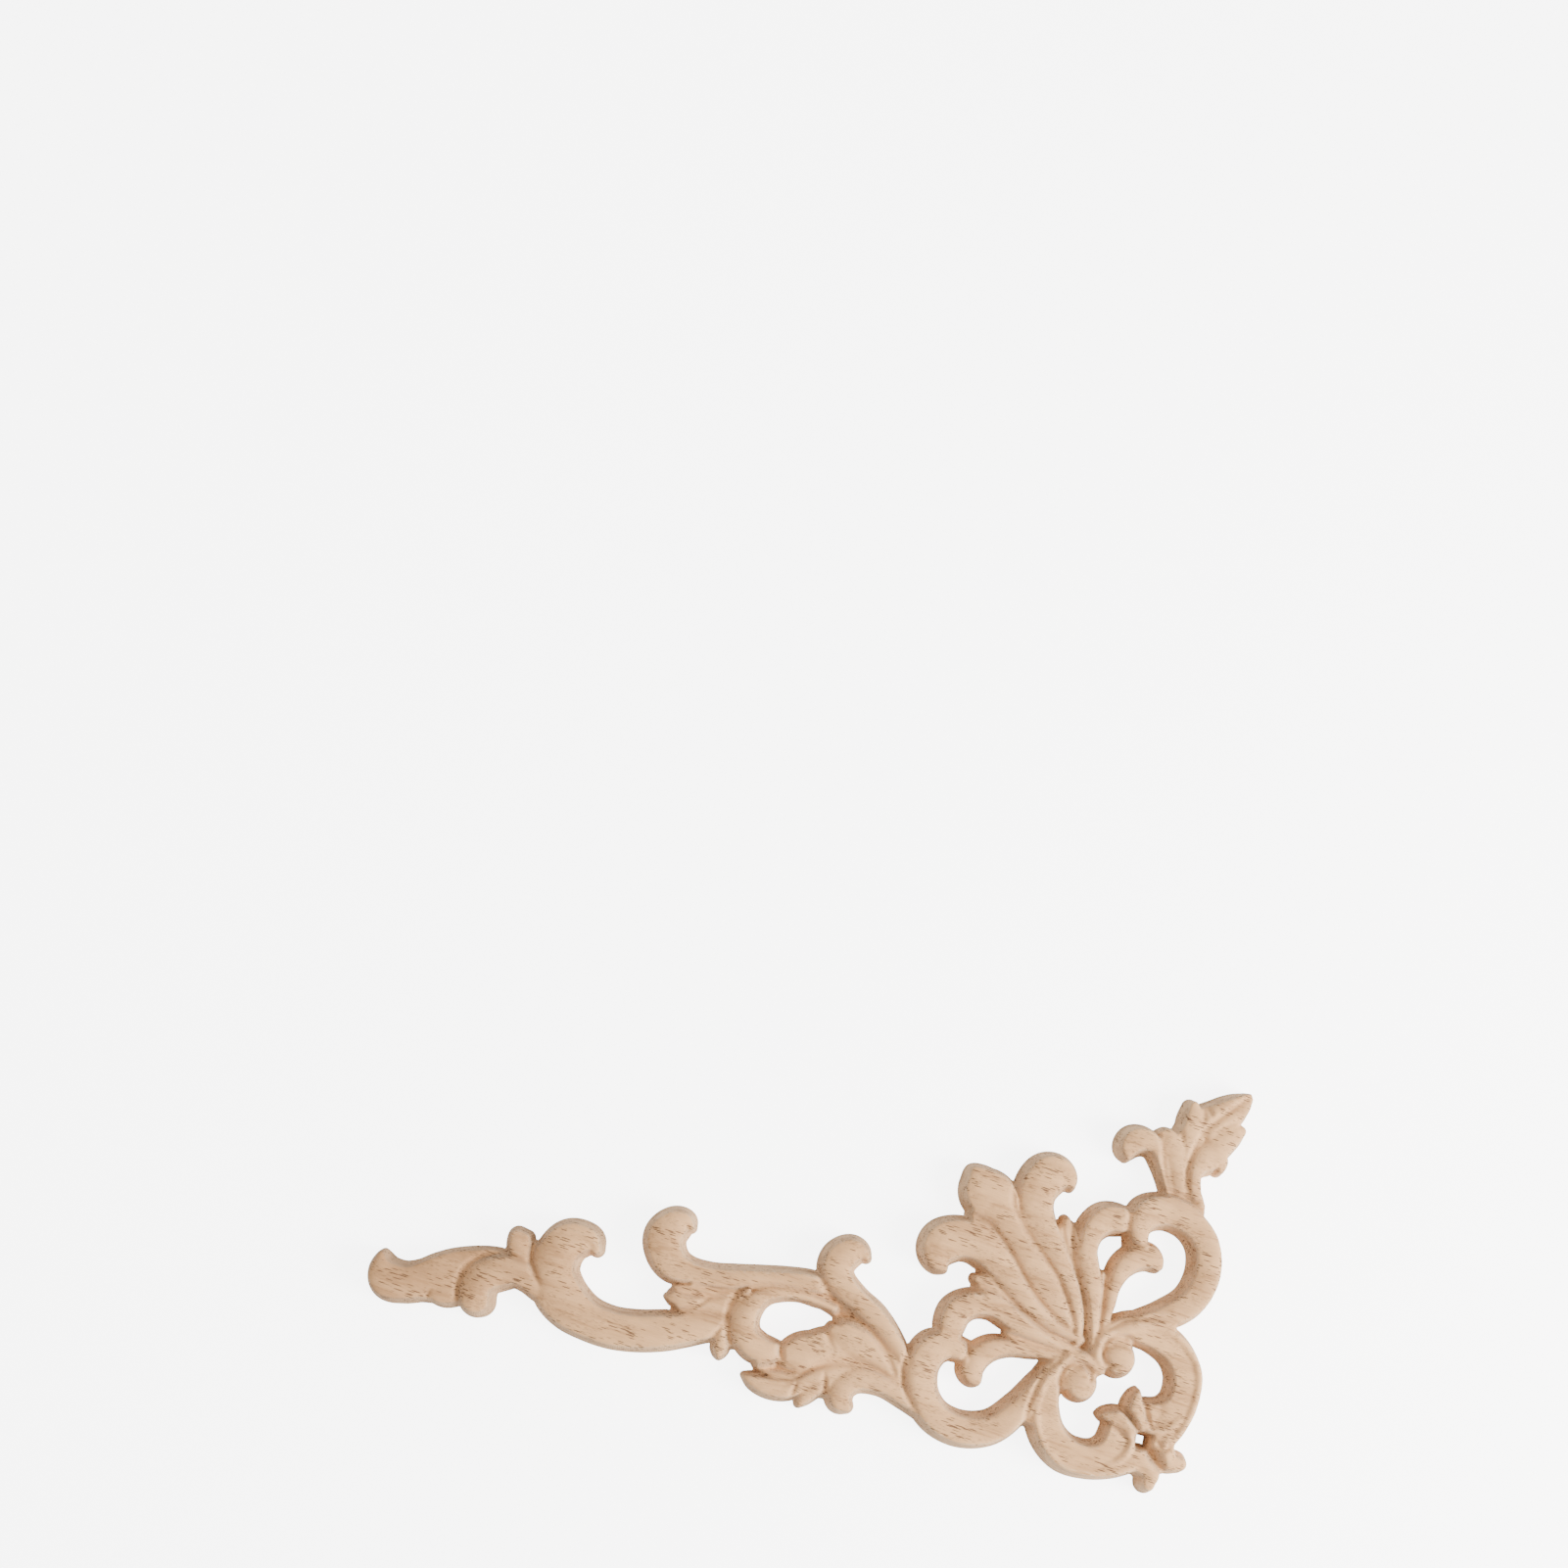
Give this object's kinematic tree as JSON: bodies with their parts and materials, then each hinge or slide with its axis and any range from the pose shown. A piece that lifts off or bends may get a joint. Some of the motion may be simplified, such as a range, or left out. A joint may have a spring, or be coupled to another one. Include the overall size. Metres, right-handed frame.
{
  "type": "carved wooden corner onlay",
  "caption": "Flat-backed carved wood corner onlay with scrolls, leaves, heart-shaped loops and a palmette, glued or pinned to the corner of a door, frame or piece of furniture.",
  "frame": {"origin": "on the flat back, under the solid wood where the strokes of the corner meet", "axes": "+Z out of the back towards the carved face, +X along the long arm towards the corner, +Y along the short arm away from the corner"},
  "size_m": [0.1993, 0.098, 0.0079],
  "materials": {
    "wood": "raw, unfinished, finely sanded"
  },
  "bodies": {
    "root": {"corner_onlay": "wood"}
  },
  "joints": []
}
